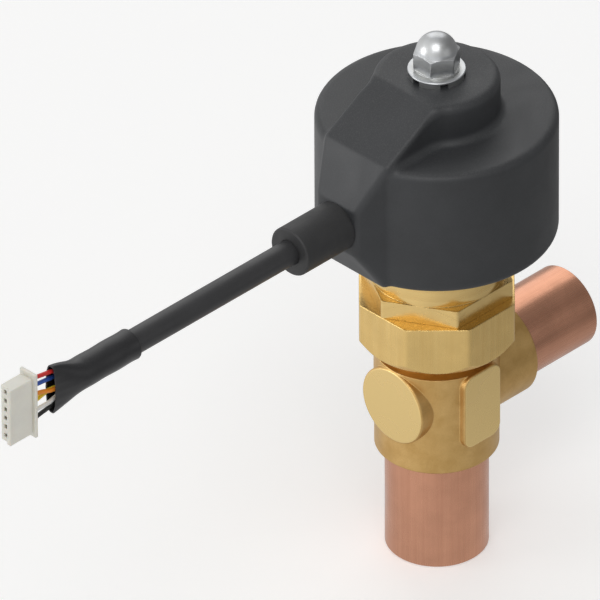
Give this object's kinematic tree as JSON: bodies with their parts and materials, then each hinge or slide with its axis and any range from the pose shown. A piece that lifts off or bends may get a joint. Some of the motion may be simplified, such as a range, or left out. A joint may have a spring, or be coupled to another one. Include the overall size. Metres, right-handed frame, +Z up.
{
  "type": "electronic expansion valve",
  "caption": "Angle-pattern motorised refrigerant metering valve with copper solder stubs, a moulded stepper coil housing and a plugged lead.",
  "frame": {"origin": "centre of the lower solder port's mouth, on the valve's axis", "axes": "+Z up along the valve's axis to the cap nut; +X out of the side port; -X along the motor lead"},
  "size_m": [0.1914, 0.059, 0.1482],
  "materials": {
    "copper": "drawn copper tube, lightly brushed",
    "forged_brass": "hot-forged brass with machined faces",
    "turned_brass": "turned brass with fine tool marks",
    "seat_plastic": "white fluoroplastic",
    "gasket": "black sealing rubber",
    "bearing_steel": "ground bearing steel",
    "stainless": "drawn stainless steel",
    "inner_moulding": "natural glass-filled moulding",
    "ferrite": "sintered ferrite",
    "housing_moulding": "black glass-filled encapsulation, fine eroded texture",
    "plated_steel": "bright zinc plated steel",
    "winding": "enamelled copper winding",
    "circuit_board": "green board",
    "tinned_contact": "tin plated",
    "cable_rubber": "moulded black strain relief",
    "cable_jacket": "black cable jacket, satin",
    "sleeve_plastic": "black shrink sleeve",
    "plug_plastic": "natural nylon",
    "wire_1": "red insulation",
    "wire_2": "blue insulation",
    "wire_3": "orange insulation",
    "wire_4": "yellow insulation",
    "wire_5": "white insulation",
    "wire_6": "black insulation"
  },
  "bodies": {
    "valve": {"lower_pipe": "copper", "side_pipe": "copper", "body": "forged_brass", "valve_seat": "seat_plastic", "bonnet": "turned_brass", "base_gasket": "gasket", "motor_base": "turned_brass", "guide_bush": "turned_brass", "stator_gasket": "gasket", "bearing_outer_ring": "bearing_steel", "bearing_balls": "bearing_steel", "top_bush": "inner_moulding", "rotor_can": "stainless", "stator_housing": "housing_moulding", "lower_yoke_cup": "plated_steel", "lower_yoke_plate": "plated_steel", "lower_bobbin": "inner_moulding", "lower_coil": "winding", "upper_yoke_cup": "plated_steel", "upper_yoke_plate": "plated_steel", "upper_bobbin": "inner_moulding", "upper_coil": "winding", "terminal_board": "circuit_board", "terminal_pins": "tinned_contact", "lock_washer": "plated_steel", "cap_nut": "plated_steel", "cable_collar": "cable_rubber", "cable": "cable_jacket", "cable_sleeve": "sleeve_plastic", "wire_1": "wire_1", "wire_2": "wire_2", "wire_3": "wire_3", "wire_4": "wire_4", "wire_5": "wire_5", "wire_6": "wire_6", "plug_housing": "plug_plastic", "plug_contacts": "tinned_contact"},
    "rotor": {"rotor_hub": "inner_moulding", "rotor_magnet": "ferrite", "rotor_cap": "inner_moulding", "bearing_inner_ring": "bearing_steel"},
    "piston": {"piston": "turned_brass", "piston_seal": "seat_plastic", "spindle": "stainless", "spindle_nut": "stainless"}
  },
  "joints": [
    {"name": "rotor_spin", "type": "hinge", "parent": "valve", "child": "rotor", "pos_m": [0, 0, 0.109], "axis": [0, 0, 1], "range_deg": [-2880, 0]},
    {"name": "piston_lift", "type": "slide", "parent": "valve", "child": "piston", "axis": [0, 0, 1], "range_m": [0, 0.008]}
  ],
  "couplings": [
    {"joint": "rotor_spin", "follows": "piston_lift", "rad_per_m": -6283.2}
  ]
}
